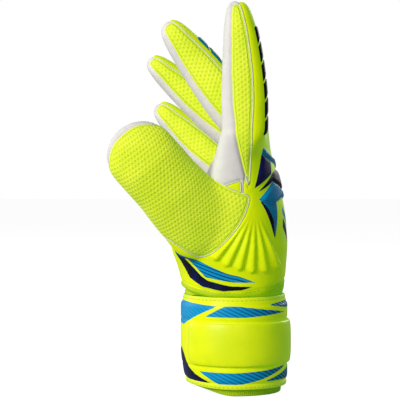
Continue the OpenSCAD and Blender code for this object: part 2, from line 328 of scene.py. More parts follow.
def hand_rings():
    z = np.arange(HEM_Z - 2 * MM, HAND_TOP, 1.5 * MM)
    z2, a2 = np.meshgrid(z, full_turn(128), indexing="ij")
    return below_fingers(hand_point(a2, z2), 1 * MM)


def remeshed(parts, voxel):
    """The union of closed meshes as one even mesh."""
    obj = new_object("scratch", *joined(parts))
    modifier = obj.modifiers.new("voxels", "REMESH")
    modifier.mode = "VOXEL"
    modifier.voxel_size = voxel
    graph = bpy.context.evaluated_depsgraph_get()
    mesh = bpy.data.meshes.new_from_object(obj.evaluated_get(graph))
    mesh.calc_loop_triangles()
    co = np.zeros(len(mesh.vertices) * 3)
    mesh.vertices.foreach_get("co", co)
    tri = np.zeros(len(mesh.loop_triangles) * 3, int)
    mesh.loop_triangles.foreach_get("vertices", tri)
    bpy.data.objects.remove(obj)
    return co.reshape(-1, 3), tri.reshape(-1, 3)


def half_edges(tri):
    return np.concatenate([tri[:, [0, 1]], tri[:, [1, 2]], tri[:, [2, 0]]])


def smoothed(values, edges, times, weight):
    """Evens out a row of values per vertex over its neighbours."""
    n = len(values)
    count = np.bincount(edges.ravel(), minlength=n)
    for _ in range(times):
        total = np.zeros_like(values)
        for k in range(values.shape[1]):
            total[:, k] = np.bincount(edges[:, 0], values[edges[:, 1], k], n)
            total[:, k] += np.bincount(edges[:, 1], values[edges[:, 0], k], n)
        values = values + weight * (total / count[:, None] - values)
    return values


def vertex_normals(co, tri):
    face = np.cross(co[tri[:, 1]] - co[tri[:, 0]], co[tri[:, 2]] - co[tri[:, 0]])
    total = np.zeros_like(co)
    for k in range(3):
        for c in range(3):
            total[:, c] += np.bincount(tri[:, k], face[:, c], len(co))
    return unit(total + 1e-20)


def build_skin():
    """The hand, the thumb and the fingers as one skin, evened out most where they meet."""
    parts = [closed_loft(hand_rings()), closed_loft(THUMB.rings())]
    parts += [closed_loft(f.rings()) for f in FINGERS]
    co, tri = remeshed(parts, VOXEL)
    edges = np.unique(np.sort(half_edges(tri), axis=1), axis=0)
    s = THUMB.local(co)[2]
    near_root = ease(1 - np.abs(s + 12 * MM) / (45 * MM)) * ease((co[:, 2] - HEM_Z - 4 * MM) / (10 * MM))
    co = smoothed(co, edges, 6, 0.5)
    co = smoothed(co, edges, 60, 0.5 * near_root[:, None])
    crotch = np.zeros(len(co))
    for f, g in zip(FINGERS, FINGERS[1:]):
        low = np.minimum(f.local(co)[2], g.local(co)[2])
        across = np.abs(co[:, 1] - (f.hinge[1] + g.hinge[1]) / 2)
        crotch = np.maximum(crotch, ease(1 - np.abs(low) / (9 * MM)) * ease(1 - across / (7 * MM)))
    return smoothed(co, edges, 12, 0.5 * crotch[:, None]), tri


# ---------------- cutting the skin into panels
SNAP = 0.06 * MM  # a point this near to a cut counts as on it
SCRAP = 150  # a panel's part in a zone with fewer triangles than this goes to its neighbour
# the dotted thumb panel's outline in the thumb's own plane: across it, and along it from its hinge
THUMB_PANEL = [(0, 66.2), (12, 64.2), (21.5, 56), (26, 44), (29, 28), (28, 12), (26, 2), (29, -9), (35, -20),
               (38.5, -25.8), (33.5, -29.4), (25, -34), (15.5, -37.3), (5, -39.2), (-7, -40.2), (-14, -38.8),
               (-18, -35.5), (-20.5, -28), (-23.5, -17), (-26, -9), (-33, -2), (-33, 10), (-32, 30),
               (-26, 45), (-21.5, 56), (-12, 64.2)]
# the small inset at the root of the thumb's web, seen from the thumb's side: X and Z
WEB_INSET = [(-12, 149.4), (-7.5, 149), (3.8, 152.6), (4, 143), (-12, 143)]
# where the latex meets the shell: the angle round the hand at a height, on the thumb's side and the other
NEAR_EDGE = smooth_table([(100, 150), (112, 130), (120, 106), (128, 93), (136, 84), (143, 79), (151, 77),
                          (157, 72)], 3)
FAR_EDGE = smooth_table([(100, 112), (120, 98), (140, 90), (160, 86)])
# the palm's lower edge: how far across the hand, and the height there
HEEL = smooth_table([(-60, 117), (-30, 115), (0, 113), (12, 107), (26, 100), (40, 97), (60, 96)])
WRIST_TOP = 108 * MM
FINGER_START = -9 * MM  # the fingers' own pieces start here, below their hinges
FINGER_REACH = 24 * MM  # nothing further than this in front of or behind a finger's axis is part of it
THUMB_FRONT, THUMB_SIDE = 15.5 * MM, 28 * MM  # nor this far in front of the thumb's axis, or beside it
SLANT = math.radians(20)  # the thumb's cuts lean by this much
THUMB_SWING = (0.0, 17 * MM)  # the stretch along the thumb that turns at its first joint
THUMB_BEND = (17.5 * MM, 36 * MM)  # and at its second


def cut(points, tri, sides, value):
    """Adds points where a value per point passes through zero, so that no triangle straddles it."""
    v = value(points)
    v[np.abs(v) < SNAP] = 0
    t = v[tri]
    mixed = (t.max(1) > 0) & (t.min(1) < 0)
    keep, split = tri[~mixed], tri[mixed]
    sign = np.sign(v[split])
    has_zero = (sign == 0).any(1)
    odd_one = np.argmax(sign != np.median(sign, 1)[:, None], 1)
    lone = np.where(has_zero, np.argmin(np.abs(sign), 1), odd_one)
    rolled = split[np.arange(len(split))[:, None], (lone[:, None] + np.arange(3)) % 3]
    one, three = rolled[has_zero], rolled[~has_zero]
    crossed = np.concatenate([one[:, [1, 2]], three[:, [0, 1]], three[:, [0, 2]]])
    pairs, where = np.unique(np.sort(crossed, axis=1), axis=0, return_inverse=True)
    share = v[pairs[:, 0]] / (v[pairs[:, 0]] - v[pairs[:, 1]])
    fresh = points[pairs[:, 0]] + share[:, None] * (points[pairs[:, 1]] - points[pairs[:, 0]])
    where = where.ravel() + len(points)
    m = where[:len(one)]
    p, q = where[len(one):len(one) + len(three)], where[len(one) + len(three):]
    new = [np.stack([one[:, 0], one[:, 1], m], 1), np.stack([one[:, 0], m, one[:, 2]], 1),
           np.stack([three[:, 0], p, q], 1), np.stack([p, three[:, 1], three[:, 2]], 1),
           np.stack([p, three[:, 2], q], 1)]
    old = sides[mixed]
    parents = [old[has_zero]] * 2 + [old[~has_zero]] * 3
    points = np.concatenate([points, fresh])
    tri = np.concatenate([keep] + new)
    sides = np.concatenate([sides[~mixed]] + parents)
    v = np.concatenate([v, np.zeros(len(fresh))])
    return points, tri, np.concatenate([sides, (v[tri].sum(1) > 0)[:, None]], axis=1)


def outline_distance(outline, u, v):
    """How far inside a closed outline a point lies; negative outside."""
    pts = np.array(outline, float) * MM
    best = np.full(np.shape(u), 1.0)
    inside = np.zeros(np.shape(u), bool)
    for (au, av), (bu, bv) in zip(pts, np.roll(pts, -1, axis=0)):
        du, dv = bu - au, bv - av
        t = clamp01(((u - au) * du + (v - av) * dv) / (du * du + dv * dv))
        best = np.minimum(best, np.hypot(u - au - t * du, v - av - t * dv))
        crosses = (av > v) != (bv > v)
        inside ^= crosses & (u < au + (v - av) / np.where(dv == 0, 1e-12, dv) * du)
    return np.where(inside, best, -best)


def rounded(outline, times=3):
    """A closed outline with its corners cut round."""
    pts = np.array(outline, float)
    for _ in range(times):
        after = np.roll(pts, -1, axis=0)
        pts = np.stack([0.75 * pts + 0.25 * after, 0.25 * pts + 0.75 * after], 1).reshape(-1, 2)
    return pts


def section_angle(p):
    """The angle round the hand in degrees: 0 at the back, -90 on the thumb's side, 180 at the palm."""
    x = p[:, 0] - cup_shift(p[:, 1], p[:, 2])
    middle = (back_x(p[:, 2]) + palm_x(p[:, 2])) / 2
    half = (back_x(p[:, 2]) - palm_x(p[:, 2])) / 2
    c = round_pow((x - middle) / half, 4 / SIDE_N)
    s = round_pow(p[:, 1] / half_w(p[:, 2]), 4 / SIDE_N)
    return np.degrees(np.arctan2(s, c))


def finger_zone(i, start):
    """A finger beyond a place along it, as a value that is positive inside."""
    def value(p):
        x, y, s = FINGERS[i].local(p)
        return least(s - start, FINGER_REACH - np.abs(x), span_depth(i, p))
    return value


def thumb_zone(start):
    """The thumb beyond a slanting line across it, as a value that is positive inside."""
    def value(p):
        x, y, s = THUMB.local(p)
        along = s * math.cos(SLANT) - y * math.sin(SLANT) - start
        return least(along, x + THUMB_FRONT, THUMB_SIDE - y)
    return value


def on_thumb_panel(p):
    x, y, s = THUMB.local(p)
    flat = outline_distance(rounded(THUMB_PANEL), y, s)
    return np.minimum(flat, x + 5 * MM)


def on_web_inset(p):
    return np.minimum(outline_distance(WEB_INSET, p[:, 0], p[:, 2]), -30 * MM - p[:, 1])


def on_gusset(i):
    """A finger's side panels. The outer ones of the hand run down its edge, the others end in the crotch."""
    f = FINGERS[i]
    outer = {0: -1, 3: 1}.get(i, 0)

    def value(p):
        x, y, s = f.local(p)
        edge_low, edge_high = f.gusset_edges(s)
        foot = np.where(outer * y > 0, -40 * MM, -7 * MM)
        return least(x - edge_low, edge_high - x, s - foot, f.length - 1.8 * MM - s, span_depth(i, p))
    return value


def on_palm(p):
    """Positive on the latex: the palm side of the fingers and the hand, and the thumb's inner face."""
    angle = section_angle(p)
    edge = np.where(angle < 0, NEAR_EDGE(p[:, 2]), FAR_EDGE(p[:, 2])) / MM
    side = np.minimum((np.abs(angle) - edge) * 0.75 * MM, p[:, 2] - HEEL(p[:, 1]))
    for i, f in enumerate(FINGERS):
        x, y, s = f.local(p)
        side = np.where(in_span(i, p) & (s > FINGER_START), f.latex_edge(s) - x, side)
    x, y, s = THUMB.local(p)
    lobe = (np.abs(x) < 17 * MM) & (s > 12 * MM) & (y < THUMB_SIDE)
    return np.where(lobe, 3 * MM, side)


ZONE_CUTS = {"wrist": lambda p: WRIST_TOP - p[:, 2],
             "thumb_base": thumb_zone(THUMB_SWING[0]), "thumb_tip": thumb_zone(THUMB_SWING[1])}
PANEL_CUTS = {"palm": on_palm}
for i, f in enumerate(FINGERS):
    ZONE_CUTS[f.name + "_base"] = finger_zone(i, FINGER_START)
    ZONE_CUTS[f.name + "_tip"] = finger_zone(i, f.first / 2)
    PANEL_CUTS["gusset_" + f.name] = on_gusset(i)
PANEL_CUTS["web_inset"] = on_web_inset
PANEL_CUTS["thumb_panel"] = on_thumb_panel


def build_panels():
    """The skin cut along every seam and joint, with the name of each triangle's zone and panel."""
    co, tri = build_skin()
    sides = np.zeros((len(tri), 0), bool)
    for value in list(ZONE_CUTS.values()) + list(PANEL_CUTS.values()):
        co, tri, sides = cut(co, tri, sides, value)
    side = dict(zip(list(ZONE_CUTS) + list(PANEL_CUTS), sides.T))
    zone = np.full(len(tri), "hand", dtype="U24")
    for name in ZONE_CUTS:
        zone[side[name]] = name
    panel = np.full(len(tri), "shell", dtype="U24")
    for name in PANEL_CUTS:
        panel[side[name]] = "gusset" if name.startswith("gusset") else name
    for z in np.unique(zone):
        for label in np.unique(panel[zone == z]):
            few = (zone == z) & (panel == label)
            if few.sum() < SCRAP:
                panel[few] = "shell" if z in ("hand", "wrist") else "palm"
    return co, tri, zone, panel


def shared_edges(tri):
    """Each edge of a closed mesh once, with its two triangles."""
    owner = np.tile(np.arange(len(tri)), 3)
    key = np.sort(half_edges(tri), axis=1)
    order = np.lexsort((key[:, 1], key[:, 0]))
    key, owner = key[order], owner[order]
    same = (key[1:] == key[:-1]).all(1)
    return key[:-1][same], np.stack([owner[:-1][same], owner[1:][same]], 1)


def distance_to(points, targets):
    tree = KDTree(len(targets))
    for k, t in enumerate(targets):
        tree.insert(t, k)
    tree.balance()
    return np.array([tree.find(p)[2] for p in points])


# ---------------- relief: puffed panels, pleats and the hem
PUFF = {"palm": 0.5 * MM, "thumb_panel": 0.2 * MM, "gusset": 0.2 * MM, "shell": 0.1 * MM, "web_inset": 0.0}
SEAM_DEPTH, CHEVRON_HEIGHT, KNUCKLE_HEIGHT = 0.45 * MM, 0.9 * MM, 1.4 * MM
FAN_APEX = (13.9, 133.9)  # where the pleats meet, X and Z in millimetres
FAN_START, FAN_PITCH, FAN_COUNT = -45.0, 11.6, 6  # degrees from straight down, degrees to a pleat, pleats
FAN_LENGTH, PLEAT_HEIGHT = 47, 2.4 * MM


def fan_height(p):
    """The moulded pleats that fan out over the side of the wrist."""
    x = p[:, 0] / MM - FAN_APEX[0]
    z = FAN_APEX[1] - p[:, 2] / MM
    radius = np.hypot(x, z)
    turn = (np.degrees(np.arctan2(x, z)) - FAN_START) / FAN_PITCH
    inside = (turn > 0) & (turn < FAN_COUNT) & (z > 0)
    phase = turn - np.floor(turn)
    pleat = np.sin(math.pi * phase ** 1.6)
    end = FAN_LENGTH + 0.5 * np.abs(turn - 2.5) - 7 * np.abs(phase - 0.62) ** 1.5
    tall = ease((radius - 6) / 28) * ease((end - radius) / 3.2)
    return np.where(inside, pleat * tall * PLEAT_HEIGHT, 0)


def hem_line(x):
    """The height of the hem's sewn line, which dips on the hand's two sides."""
    return 73 * MM + 6.5 * MM * ((x + 3 * MM) / (34.6 * MM)) ** 2


def hem_height(p):
    """A sewn hem at the foot of the hand and the slack folds above it."""
    above = p[:, 2] - hem_line(p[:, 0])
    groove = -0.7 * MM * bell(above, 1.1 * MM)
    crease = -1.5 * MM * bell(above + 5.5 * MM, 1.4 * MM)
    bulge = 1.0 * MM * bell(above + 2.2 * MM, 2 * MM)
    fold = (crease + bulge) * ease(-p[:, 0] / (30 * MM))
    ripple = 0.35 * MM * np.sin(p[:, 0] / (2.6 * MM)) * bell(p[:, 2] - 74 * MM, 3 * MM)
    return groove + fold + ripple


def shaped(co, tri, panel, raised):
    """The skin with its seams pulled in, its panels puffed out, and its pleats and mouldings raised."""
    no = vertex_normals(co, tri)
    edge, pair = shared_edges(tri)
    seam = edge[panel[pair[:, 0]] != panel[pair[:, 1]]]
    samples = np.concatenate([co[seam[:, 0]], co[seam].mean(1)])
    far = distance_to(co, samples)
    puff = np.zeros(len(co))
    for name, amount in PUFF.items():
        puff[tri[panel == name]] = amount
    lift = puff * (1 - bell(far, 1.6 * MM)) - SEAM_DEPTH * bell(far, 0.9 * MM)
    beside = np.where(np.abs(no[:, 1]) > 0.3, 1.0, 0.0)
    lift = lift + fan_height(co) * beside * ease(far / (2.5 * MM))
    lift = lift + hem_height(co) + raised * ease(far / (1.5 * MM))
    return co + lift[:, None] * no, far


# ---------------- pieces
SHARP = math.radians(50)  # edges of the wrist's pieces that turn by more than this are drawn sharp
WRIST_FOLD = (84 * MM, 104 * MM)  # the heights between which the wrist bends


def add_attributes(obj, values):
    for name, value in values.items():
        value = np.asarray(value, np.float32)
        kind = "FLOAT" if value.ndim == 1 else "FLOAT_VECTOR"
        attribute = obj.data.attributes.new(name, kind, "POINT")
        attribute.data.foreach_set("value" if value.ndim == 1 else "vector", value.ravel())


def surface(name, verts, faces, smooth=True, values=None):
    """A piece from points and faces, which keeps where its points lie at rest."""
    piece = new_object(name, verts, faces)
    if smooth:
        piece.data.polygons.foreach_set("use_smooth", np.ones(len(faces), bool))
    add_attributes(piece, {"rest": verts / MM, **(values or {})})
    return piece


def solid_patch(name, co, no, tri, thick, values):
    """A closed piece: a patch of skin, the same patch set inwards, and a rim between them."""
    used, tri = np.unique(tri, return_inverse=True)
    tri = tri.reshape(-1, 3)
    co, no, n = co[used], no[used], len(used)
    half = half_edges(tri)
    _, first, count = np.unique(np.sort(half, axis=1), axis=0, return_index=True, return_counts=True)
    rim = half[first[count == 1]]
    verts = np.concatenate([co, co - no * thick])
    faces = tri.tolist() + (tri[:, ::-1] + n).tolist()
    faces += np.stack([rim[:, 1], rim[:, 0], rim[:, 0] + n, rim[:, 1] + n], 1).tolist()
    obj = new_object(name, verts, faces)
    obj.data.polygons.foreach_set("use_smooth", np.ones(len(faces), bool))
    obj.data.normals_split_custom_set_from_vertices(np.concatenate([no, -no]))
    add_attributes(obj, {k: np.concatenate([v[used], v[used]]) for k, v in values.items()})
    return obj


def tube(path, radius, around=8):
    """A closed tube along a list of points."""
    along = unit(np.gradient(path, axis=0) + 1e-12)
    side = unit(np.cross(along, np.array([0.3, 0.2, 0.93])) + 1e-9)
    up = np.cross(side, along)
    a = full_turn(around)[:, None]
    return closed_loft(path[:, None] + radius * (np.cos(a) * side[:, None] + np.sin(a) * up[:, None]))


def chains(edges):
    """Orders loose edges into runs of points."""
    links = {}
    for a, b in edges.tolist():
        links.setdefault(a, []).append(b)
        links.setdefault(b, []).append(a)
    runs = []
    starts = [k for k, v in links.items() if len(v) == 1] + list(links)
    for start in starts:
        while links.get(start):
            run = [start]
            while links.get(run[-1]):
                here = run[-1]
                after = links[here].pop()
                links[after].remove(here)
                run.append(after)
            runs.append(run)
    return runs


def eased_path(path, times=10):
    """A line of points without its small jags; a closed one stays closed."""
    closed = np.allclose(path[0], path[-1])
    for _ in range(times):
        if closed:
            ring = path[:-1]
            ring = 0.5 * ring + 0.25 * (np.roll(ring, 1, 0) + np.roll(ring, -1, 0))
            path = np.concatenate([ring, ring[:1]])
        else:
            path[1:-1] = 0.5 * path[1:-1] + 0.25 * (path[2:] + path[:-2])
    return path


def resampled(path, step):
    length = np.concatenate([[0], np.cumsum(np.linalg.norm(np.diff(path, axis=0), axis=1))])
    at = np.linspace(0, length[-1], max(2, int(length[-1] / step) + 1))
    return np.stack([np.interp(at, length, path[:, k]) for k in range(3)], 1)


def stitches(paths, long, wide, gap, outward):
    """Short raised stitches laid along lines of points; outward gives the surface's direction at a point."""
    parts = []
    a = full_turn(6)
    for path in paths:
        line = resampled(path, long + gap)
        for p, q in zip(line, line[1:]):
            along = (q - p) / np.linalg.norm(q - p)
            out = outward((p + q) / 2)
            side = np.cross(along, out)
            shape = [(p + q) / 2 + along * (-math.cos(k) * long / 2)
                     + np.outer(np.cos(a), out) * wide * math.sin(k) * 0.7
                     + np.outer(np.sin(a), side) * wide * math.sin(k)
                     for k in np.linspace(0, math.pi, 5)[1:-1]]
            parts.append(closed_loft(np.array(shape)))
    return joined(parts)


def finish_piece(obj, material, motion, nodes=()):
    """Gives a piece its material, ties a piece of one body to that body, bakes the transform of the others,
    and hides the parts it stands for.
    """
    obj.data.materials.append(material)
    if len(motion) == 1:
        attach(obj, motion[0])
    else:
        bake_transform(obj)
    if nodes:
        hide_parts(*nodes)


def zone_motion(zone):
    """A zone's body, or its two bodies and the stretch over which it turns from one to the other."""
    if zone == "hand":
        return ["hand_part"]
    if zone == "wrist":
        return ["cuff_part", "hand_part", (0, 0, WRIST_FOLD[0]), (0, 0, WRIST_FOLD[1])]
    name, part = zone.rsplit("_", 1)
    if name == "thumb":
        limb = THUMB
        along = limb.u * math.cos(SLANT) - limb.v * math.sin(SLANT)
        low, high = THUMB_SWING if part == "base" else THUMB_BEND
    else:
        limb = next(f for f in FINGERS if f.name == name)
        along = limb.u
        low, high = (-3 * MM, 14 * MM) if part == "base" else (limb.first - 9 * MM, limb.first + 9 * MM)
    bodies = ("hand_part", name + "_lower") if part == "base" else (name + "_lower", name + "_upper")
    return [*bodies, tuple(limb.hinge + along * low), tuple(limb.hinge + along * high)]


# ---------------- the wrist: cuff, strap and patches
OVAL_EXTRA = 2 * MM  # how much wider than deep the wrist's oval is, on each side
CUFF_IN, CUFF_OUT = 31 * MM, 34 * MM
STRAP_IN, STRAP_OUT = 35.6 * MM, 38.5 * MM
STRAP_LOW, STRAP_HIGH = 5 * MM, 70 * MM
LOW_EDGE_OUT, HIGH_EDGE_OUT = 37.7 * MM, 36.8 * MM
STRAP_MIDDLE = 40 * MM
# angles along the strap from the back: its start, its first fold, where its end is sewn on, its second fold
STRAP_START, UNWRAP, CHANGE, PEEL, STRAP_END = 110, -50, -100, -156, -219
PAD_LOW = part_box("strap_side_pad")[0][2]
PAD_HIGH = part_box("strap_side_pad")[1][2] - 1.8 * MM
FOOT_TOP = 32 * MM  # below this the sleeve is drawn in on the palm side, and its foot rises a little there
DRAWN_IN, FOOT_RISE = 3.3 * MM, 1.8 * MM
PRINT_SLANT = math.radians(26)


def oval(angle, r, z):
    """A point on the wrist's oval; the angle is in degrees from the back."""
    a = np.radians(angle)
    a, r, z = np.broadcast_arrays(a, r, z)
    low = ease((FOOT_TOP - z) / FOOT_TOP)
    r = r - DRAWN_IN * low * ease(-np.cos(a) * 1.2)
    z = z + FOOT_RISE * low * np.cos(a) ** 2 * (np.cos(a) < 0)
    return np.stack([r * np.cos(a), (r + OVAL_EXTRA) * np.sin(a), z], -1)


def oval_out(p):
    return unit(np.array([p[0], p[1] * (STRAP_OUT / (STRAP_OUT + OVAL_EXTRA)) ** 2, 0]))


def stretch(a0, a1, step=2.0):
    count = max(2, int(round(abs(a1 - a0) / step)) + 1)
    return np.linspace(a0, a1, count)


def swept(profile, a0, a1):
    """A closed band: a closed profile of (radius, height), which may change with the angle, swept round."""
    rings = []
    for a in stretch(a0, a1):
        r, z = np.array(profile(a)).T
        rings.append(oval(a, r, z))
    verts, faces = closed_loft(np.array(rings))
    return (verts, faces) if a0 < a1 else (verts, [f[::-1] for f in faces])


def round_profile(r0, r1, z0, z1, n=5, count=40, crown=0.0):
    """A rounded box as a closed profile; its outer face may be crowned."""
    t = full_turn(count)
    r = (r0 + r1) / 2 + (r1 - r0) / 2 * round_pow(np.cos(t), n)
    u = round_pow(np.sin(t), n)
    z = (z0 + z1) / 2 + (z1 - z0) / 2 * u
    return np.stack([r + crown * (np.cos(t) > 0) * (1 - u * u), z], 1)


def box_profile(*box):
    """The same section at every angle."""
    return lambda a: round_profile(*box)


def wrist_piece(name, profile, a0, a1, material, motion, nodes=()):
    verts, faces = swept(profile, a0, a1)
    piece = surface(name, verts, faces, values=strap_prints(verts))
    piece.data.set_sharp_from_angle(angle=SHARP)
    finish_piece(piece, material, motion, nodes)
    return piece


def seen_side(*points):
    """Points as seen from the thumb's side, X and Z, as the way round the strap and Z."""
    r = STRAP_OUT / MM
    return [(r * np.arcsin(np.clip(x / r, -1, 1)), z) for x, z in points]


# the strap's printed shapes: the way round it from the middle of the thumb's side, and Z
STRAP_BLUE = [
    [*seen_side((-12, 63.8), (-36, 66)), (-58, 66), (-72, 63), (-60, 50), *seen_side((-35.8, 49.2))],
    seen_side((-7.3, 63.8), (2, 64), (20, 61.4), (35.1, 58.4), (6.7, 56), (-20.5, 56.2)),
    seen_side((-25.6, 17.2), (0, 17), (20, 18.2), (36.3, 20.6), (18.3, 12), (4.9, 8.9), (-10.7, 8.4)),
    [*seen_side((20.8, 64.4), (36, 66)), (61, 66.2), (61, 61), *seen_side((36.3, 61.2))],
    [*seen_side((18.8, 10.3), (36.9, 17.6)), (61, 21), (61, 10.5)]]
STRAP_NAVY = [
    [(-66, 26), (-52, 33), *seen_side((-36, 28.5), (-33.6, 19.9), (-29, 15), (-17.1, 9.2), (-28.1, 9.4)),
     (-50, 10), (-62, 14)]]


def strap_prints(p):
    """The printed colours of the strap at points on it, as distances inside each shape."""
    turn = np.arctan2(p[:, 1], p[:, 0]) + math.pi / 2
    turn = (turn + math.pi) % (2 * math.pi) - math.pi
    way = STRAP_OUT * turn
    back = STRAP_OUT * math.pi / 2
    way = np.where(way > back, 2 * back - way, way)
    z = p[:, 2]
    low = DRAWN_IN * ease((FOOT_TOP - z) / FOOT_TOP) * ease(-1.2 * p[:, 0] / STRAP_OUT)
    outer = np.hypot(p[:, 0], p[:, 1] * 0.95) + low > STRAP_IN + 0.4 * MM
    blue = np.max([outline_distance(o, way, z) for o in STRAP_BLUE], axis=0)
    navy = np.max([outline_distance(o, way, z) for o in STRAP_NAVY], axis=0)
    hatch = way * math.sin(PRINT_SLANT) + z * math.cos(PRINT_SLANT)
    ink = clamp01((way / MM + 25) / 70)
    return {"blue": np.where(outer, blue / MM, -9), "navy": np.where(outer, navy / MM, -9),
            "hatch": hatch / MM, "ink": ink}


def pad_profile(a0, a1, round0, round1):
    """The raised pad's section at an angle: its corners are round at the ends that are free."""
    middle, half, corner = (PAD_LOW + PAD_HIGH) / 2, (PAD_HIGH - PAD_LOW) / 2, 7 * MM

    def profile(a):
        to_end = min(abs(a - a0) / round0 if round0 else 9, abs(a - a1) / round1 if round1 else 9)
        turn = min(1.0, to_end)
        tall = half - corner * (1 - math.sqrt(1 - (1 - turn) ** 2))
        outer = STRAP_OUT + 2.3 * MM * min(1.0, to_end * 1.6) ** 0.45
        return round_profile(STRAP_OUT - 0.8 * MM, outer, middle - tall, middle + tall, 3.4, 72, 0.3 * MM)
    return profile


def band_profile(a):
    """The strap's own section: it swells between its edges, and is drawn in at its four sewn lines."""
    t = np.linspace(0, 1, 60)
    z = STRAP_LOW + 0.8 * MM + (STRAP_HIGH - STRAP_LOW - 1.6 * MM) * t
    low_edge = 1.4 * MM * (1 - ease((z - STRAP_LOW) / (8 * MM)))
    high_edge = 2.3 * MM * (1 - ease((STRAP_HIGH - z) / (8 * MM)))
    sewn = bell(z - 8.9 * MM, 0.7 * MM) + bell(z - 64.9 * MM, 0.7 * MM)
    for seam in (PAD_LOW - 1.2 * MM, PAD_HIGH + 1.2 * MM):
        sewn += 0.8 * bell(z - seam, 0.8 * MM)
    outer = np.stack([STRAP_OUT - low_edge - high_edge - 0.6 * MM * sewn, z], 1)
    inner = np.stack([np.full(8, STRAP_IN), np.linspace(z[-1], z[0], 8)], 1)
    return np.concatenate([outer, inner])


def cuff_profile(a):
    """The knitted cuff's section: its rim rises behind the strap on the palm side."""
    rim = 3.4 * MM * ease(-1.2 * math.cos(math.radians(a)))
    return round_profile(CUFF_IN, CUFF_OUT, rim, 71 * MM, 7, 60)


def tab_profile(a):
    """The moulded tab at the strap's end, with ribs for the fingers to grip."""
    base = round_profile(STRAP_IN, STRAP_OUT + 0.9 * MM, 14 * MM, 61 * MM, 6, 90)
    rib = 0.35 * MM * np.cos(base[:, 1] / (2.6 * MM) * 2 * math.pi) * (base[:, 0] > STRAP_OUT)
    return base + np.stack([rib, 0 * rib], 1)


def fold_motion(low_body, high_body, angle, half):
    """Two bodies of the strap, and the stretch over which it turns from one to the other."""
    ends = [tuple(oval(a, STRAP_OUT, STRAP_MIDDLE)) for a in (angle + half, angle - half)]
    return [low_body, high_body, *ends]


UNWRAP_MOTION = fold_motion("cuff_part", "strap_mid", UNWRAP, 9)
PEEL_MOTION = fold_motion("strap_mid", "strap_tail", PEEL, 8)


def build_band(name, a0, a1, motion, nodes, binding_nodes):
    """A length of the strap with its sewn edges and their stitches."""
    wrist_piece(f"strap_{name}_band", band_profile, a0, a1, strap_print, motion, nodes)
    rims = [(LOW_EDGE_OUT, STRAP_LOW, STRAP_LOW + 3.9 * MM),
            (HIGH_EDGE_OUT, STRAP_HIGH - 4.9 * MM, STRAP_HIGH)]
    verts, faces = joined([swept(box_profile(STRAP_IN - 0.45 * MM, *rim, 3.4, 36), a0, a1) for rim in rims])
    edge = surface(f"strap_{name}_edges", verts, faces)
    edge.data.set_sharp_from_angle(angle=SHARP)
    finish_piece(edge, binding_tape, motion, binding_nodes)
    lines = [oval(stretch(a0, a1), LOW_EDGE_OUT, STRAP_LOW + 1.6 * MM),
             oval(stretch(a0, a1), HIGH_EDGE_OUT, STRAP_HIGH - 2.3 * MM)]
    verts, faces = stitches(lines, 2.2 * MM, 0.3 * MM, 1.0 * MM, oval_out)
    thread = surface(f"strap_{name}_stitches", verts, faces, smooth=False)
    finish_piece(thread, lime_thread, motion)


def build_strap():
    build_band("back", STRAP_START, CHANGE, UNWRAP_MOTION, ["strap_back", "strap_side"],
               ["strap_back_binding", "strap_side_binding"])
    build_band("end", CHANGE, STRAP_END, PEEL_MOTION, ["strap_end"], ["strap_end_binding"])
    pads = [("strap_back_pad", 100, CHANGE, 11, 0, UNWRAP_MOTION),
            ("strap_side_pad", CHANGE, -148, 0, 11, ["strap_mid"])]
    for node, a0, a1, round0, round1, motion in pads:
        profile = pad_profile(a0, a1, round0, round1)
        pad = wrist_piece(node + "_skin", profile, a0, a1, pad_skin, motion, [node])
    wrist_piece("cuff_knit", cuff_profile, -173, 173, cuff_knit, ["cuff_part"], ["wrist_cuff"])
    patches = [
        ("cuff_gusset", (29.8, 30.9, 5, 69), 162, 198, dotted, "dotted_mesh", "cuff_part", "vent_insert"),
        ("loop_pile", (34.1, 34.6, 15, 60), 142, 171, pile, "hook_loop", "cuff_part", "loop_patch"),
        ("hook_pile", (35, 35.5, 15, 60), -217, -190, pile, "hook_loop", "strap_tail", "hook_patch")]
    for name, box, a0, a1, material, slot, body, node in patches:
        profile = box_profile(*(side * MM for side in box), 6)
        wrist_piece(name, profile, a0, a1, material, [body], [node])
    wrist_piece("pull_tab", tab_profile, STRAP_END + 0.5, -226,
                tab_rubber, ["strap_tail"], ["strap_tab"])


# ---------------- camera, light and floor
VIEW_WIDTH = 280 * MM  # how wide the view is at the glove's near side
SENSOR = 36
CAM_DISTANCE, CAM_RISE = 1.3, math.radians(2)
CAM_TARGET = Vector((-0.0246, -0.038, 0.1386))
ROOM_LIGHT = 0.2
LIGHT_SIZE, LIGHT_TARGET = 0.8, Vector((0, 0, 0.13))
LIGHTS = [("key", (-1.1, -1.31, 0.8), 35), ("front", (0.3, -1.6, 0.5), 2),
          ("back", (0.75, 1.25, 0.7), 11), ("palm", (-1.3, 0.6, 0.5), 7)]


def place_camera():
    data = bpy.data.cameras.new("camera")
    data.sensor_width = SENSOR
    data.lens = SENSOR * CAM_DISTANCE / VIEW_WIDTH
    camera = bpy.data.objects.new("camera", data)
    bpy.context.scene.collection.objects.link(camera)
    camera.location = CAM_TARGET + CAM_DISTANCE * Vector((0, -math.cos(CAM_RISE), math.sin(CAM_RISE)))
    camera.rotation_euler = (math.pi / 2 - CAM_RISE, 0, 0)
    bpy.context.scene.camera = camera


def place_lights():
    for name, place, power in LIGHTS:
        data = bpy.data.lights.new(name, "AREA")
        data.size = LIGHT_SIZE
        data.energy = power
        light = bpy.data.objects.new(name, data)
        light.location = place
        light.rotation_euler = (LIGHT_TARGET - Vector(place)).to_track_quat("-Z", "Y").to_euler()
        bpy.context.scene.collection.objects.link(light)


